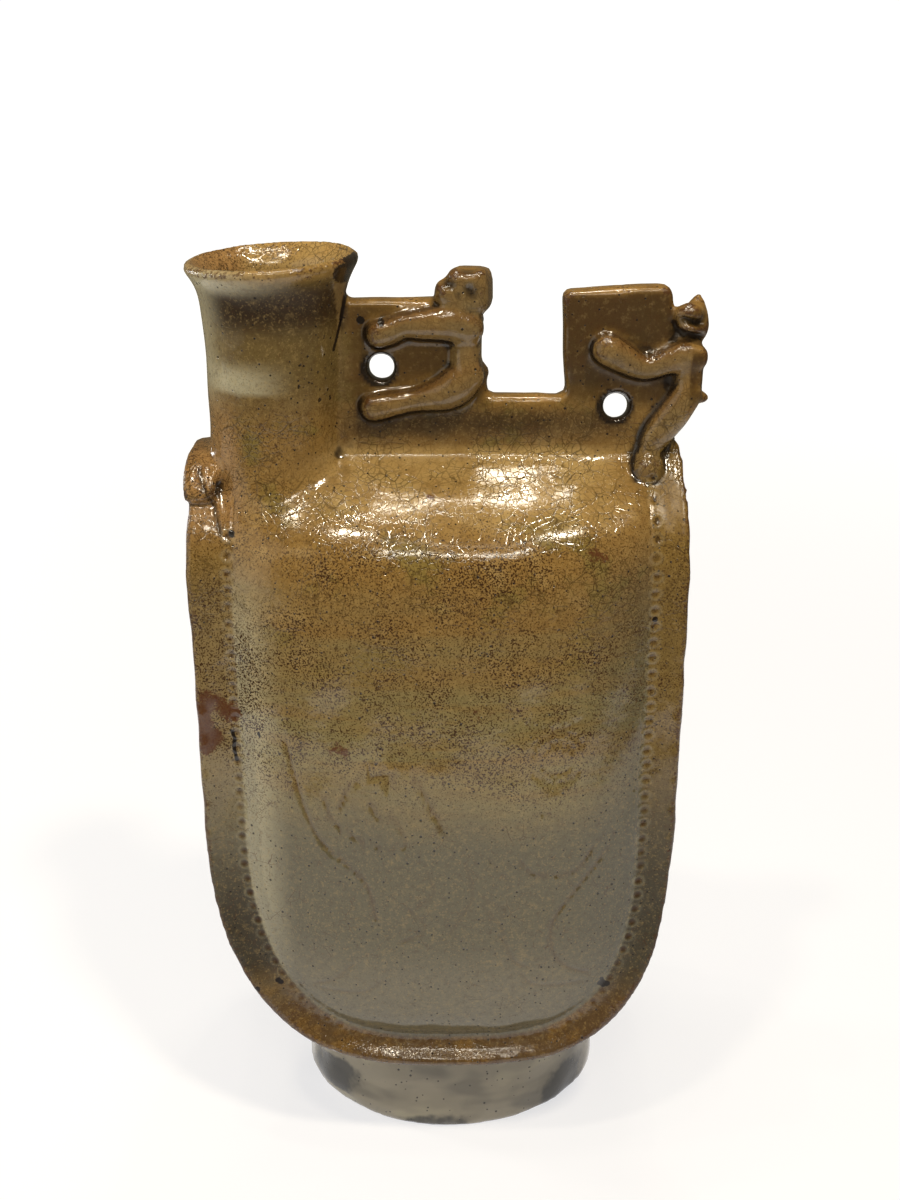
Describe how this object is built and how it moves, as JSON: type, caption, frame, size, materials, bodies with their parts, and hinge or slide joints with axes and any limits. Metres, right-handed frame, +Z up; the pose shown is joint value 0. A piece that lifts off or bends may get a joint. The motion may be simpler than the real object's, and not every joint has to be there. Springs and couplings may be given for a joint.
{
  "type": "leather bag shaped ceramic flask",
  "caption": "Hollow glazed stoneware flask shaped like a stitched leather bag, with a flared spout, two pierced lugs, climbing figures and an oval ring foot.",
  "frame": {"origin": "middle of the underside of the foot ring", "axes": "+Z up to the spout, the decorated front faces -Y, the spout is at -X and the climbing figures at +X"},
  "size_m": [0.1498, 0.1004, 0.2817],
  "materials": {
    "celadon_glaze": "glossy crackled glaze, amber above, grey green below"
  },
  "bodies": {
    "root": {"bag_flask": "celadon_glaze"}
  },
  "joints": []
}
